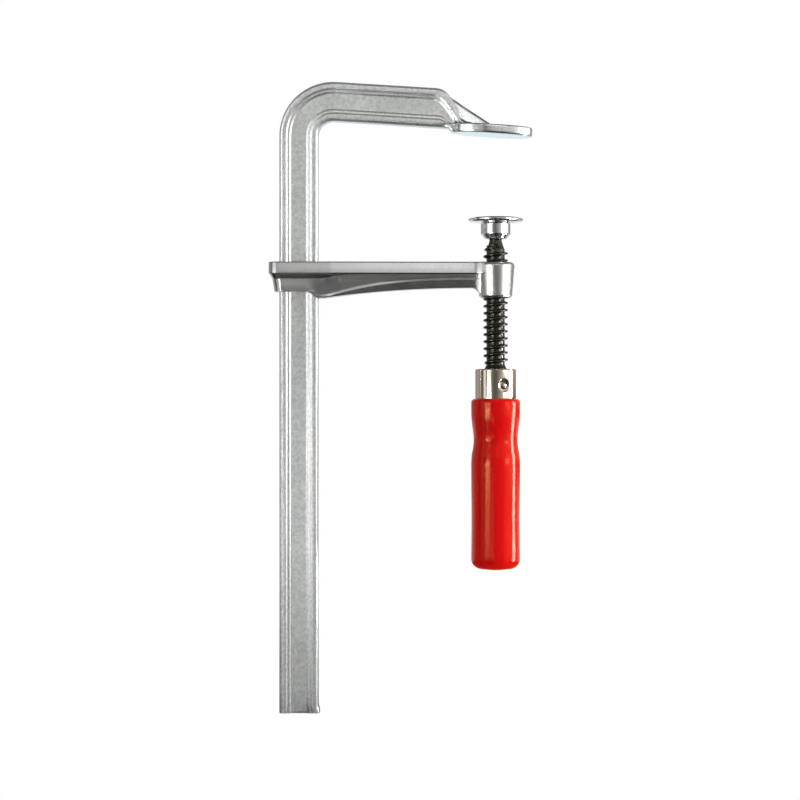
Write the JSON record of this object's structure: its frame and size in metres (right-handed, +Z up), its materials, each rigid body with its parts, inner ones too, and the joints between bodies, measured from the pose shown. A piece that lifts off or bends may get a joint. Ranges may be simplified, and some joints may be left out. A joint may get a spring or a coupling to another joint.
{
  "type": "screw clamp",
  "caption": "All-steel screw clamp: bent rail with fixed jaw, sliding arm, threaded spindle with swivel pressure plate and turned wooden handle.",
  "frame": {"origin": "where the screw's axis meets the clamping face of the fixed jaw", "axes": "+Z up along the rail, +X away from the rail out of the throat, +Y to the back of the clamp"},
  "size_m": [0.1487, 0.031, 0.3559],
  "materials": {
    "rail_steel": "cold-drawn steel, thin satin zinc plate, fine lines along the length",
    "forged_steel": "drop-forged steel, zinc plated, slightly pitted, brighter on the boss",
    "black_oxide_steel": "rolled thread, black oxide, oiled, worn bright on the crests",
    "bright_steel": "turned and bright plated",
    "spring_steel": "plain spring wire",
    "nickel_plate": "drawn steel cap, nickel plated",
    "red_lacquered_wood": "turned beech under glossy red lacquer",
    "pin_steel": "plain steel, rounded ends"
  },
  "bodies": {
    "rail": {"rail": "rail_steel"},
    "sliding_arm": {"sliding_arm": "forged_steel"},
    "snap_ring": {"snap_ring": "spring_steel"},
    "screw": {"spindle": "black_oxide_steel", "handle_ferrule": "nickel_plate", "handle_grip": "red_lacquered_wood", "handle_pin": "pin_steel"},
    "pressure_plate": {"pressure_plate": "bright_steel"}
  },
  "joints": [
    {"name": "arm_slide", "type": "slide", "parent": "rail", "child": "sliding_arm", "axis": [0, 0, 1], "range_m": [-0.222, 0.01]},
    {"name": "screw_feed", "type": "slide", "parent": "sliding_arm", "child": "snap_ring", "axis": [0, 0, 1], "range_m": [-0.0111, 0.0301]},
    {"name": "screw_turn", "type": "hinge", "parent": "snap_ring", "child": "screw", "pos_m": [0, 0, -0.1], "axis": [0, 0, 1], "range_deg": [-990, 2700]},
    {"name": "plate_tilt", "type": "hinge", "parent": "snap_ring", "child": "pressure_plate", "pos_m": [0, 0, -0.0531], "axis": [0, 1, 0], "range_deg": [-7, 7]}
  ],
  "couplings": [
    {"joint": "screw_feed", "follows": "screw_turn", "m_per_rad": 0.00063662}
  ]
}
